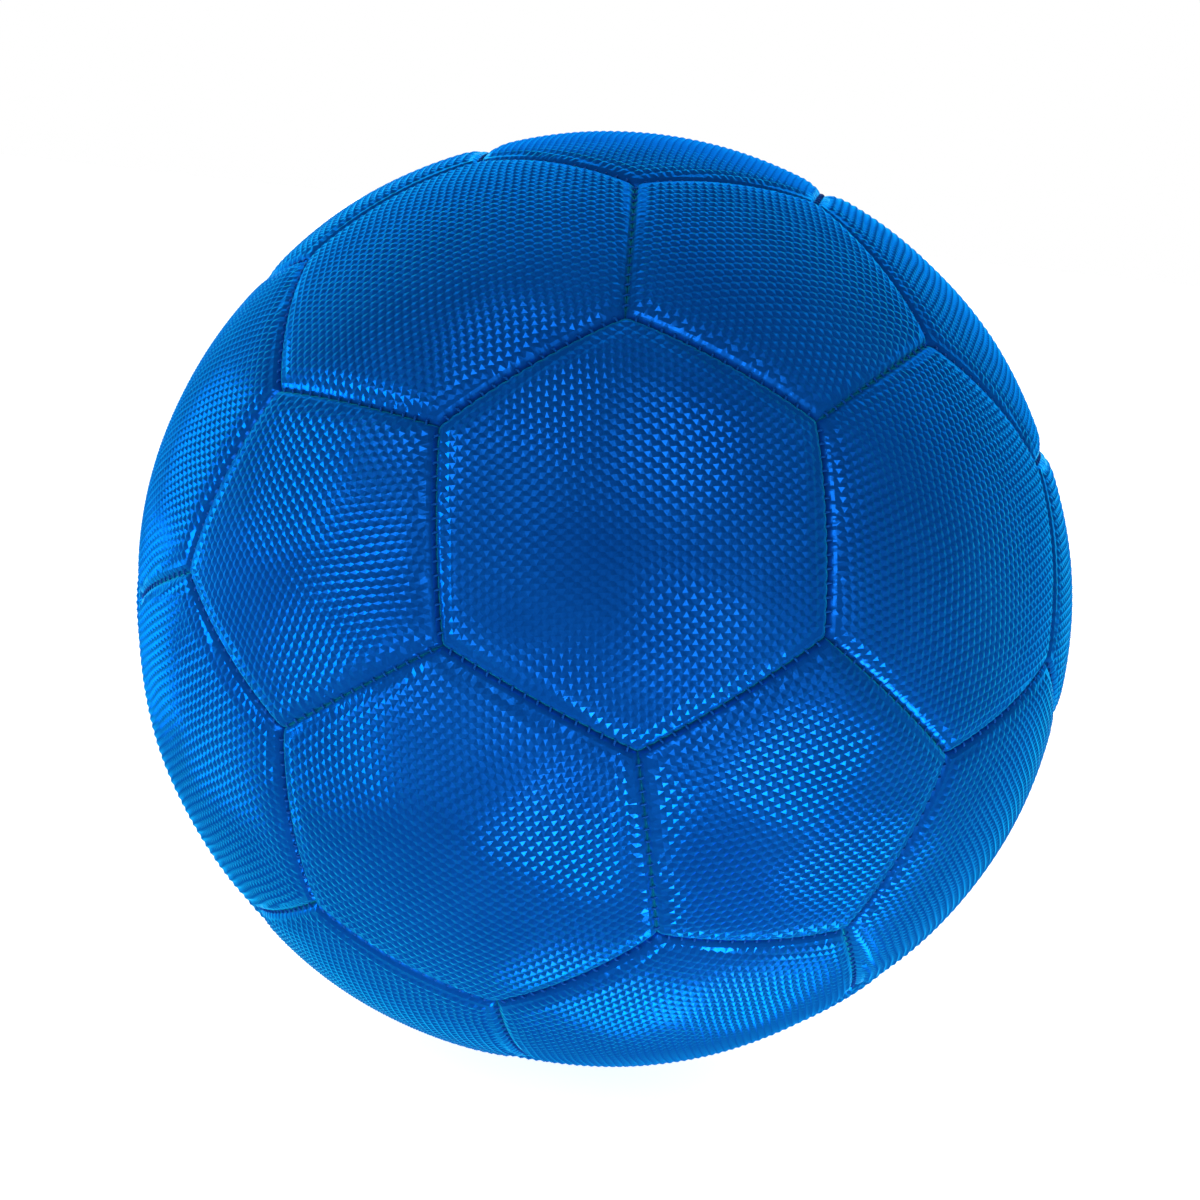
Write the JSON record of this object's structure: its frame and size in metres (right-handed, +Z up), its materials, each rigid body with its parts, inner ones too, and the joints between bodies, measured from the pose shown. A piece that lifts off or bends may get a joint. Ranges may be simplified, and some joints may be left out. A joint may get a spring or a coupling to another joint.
{
  "type": "stitched panel ball",
  "caption": "Hollow air-filled ball of hexagonal and pentagonal padded leather panels, machine-stitched with recessed seams, with a needle valve.",
  "frame": {"origin": "centre of the ball", "axes": "+Z up through the middle of the top hexagon; -Y is the front; the YZ plane is a mirror plane of the panel pattern, with a pentagon above the middle of the front"},
  "size_m": [0.2186, 0.2196, 0.22],
  "materials": {
    "skin": "satin",
    "foam": "matte",
    "lining": "matte",
    "thread": "matte",
    "valve_patch": "matte",
    "bladder": "matte",
    "valve_housing": "satin",
    "valve_core": "satin"
  },
  "bodies": {
    "root": {"hex_panel_01": "skin", "hex_panel_02": "skin", "hex_panel_03": "skin", "hex_panel_04": "skin", "hex_panel_05": "skin", "hex_panel_06": "skin", "hex_panel_07": "skin", "hex_panel_08": "skin", "hex_panel_09": "skin", "hex_panel_10": "skin", "hex_panel_11": "skin", "hex_panel_12": "skin", "hex_panel_13": "skin", "hex_panel_14": "skin", "hex_panel_15": "skin", "hex_panel_16": "skin", "hex_panel_17": "skin", "hex_panel_18": "skin", "hex_panel_19": "skin", "pent_panel_01": "skin", "pent_panel_02": "skin", "pent_panel_03": "skin", "pent_panel_04": "skin", "pent_panel_05": "skin", "pent_panel_06": "skin", "pent_panel_07": "skin", "pent_panel_08": "skin", "pent_panel_09": "skin", "pent_panel_10": "skin", "pent_panel_11": "skin", "pent_panel_12": "skin", "valve_panel": "skin", "bladder": "bladder", "hex_foam_pads": "foam", "hex_hex_seam_threads": "thread", "hex_linings": "lining", "hex_pent_seam_threads": "thread", "pent_foam_pads": "foam", "pent_linings": "lining", "valve_core": "valve_core", "valve_housing": "valve_housing", "valve_patch": "valve_patch"}
  },
  "joints": []
}
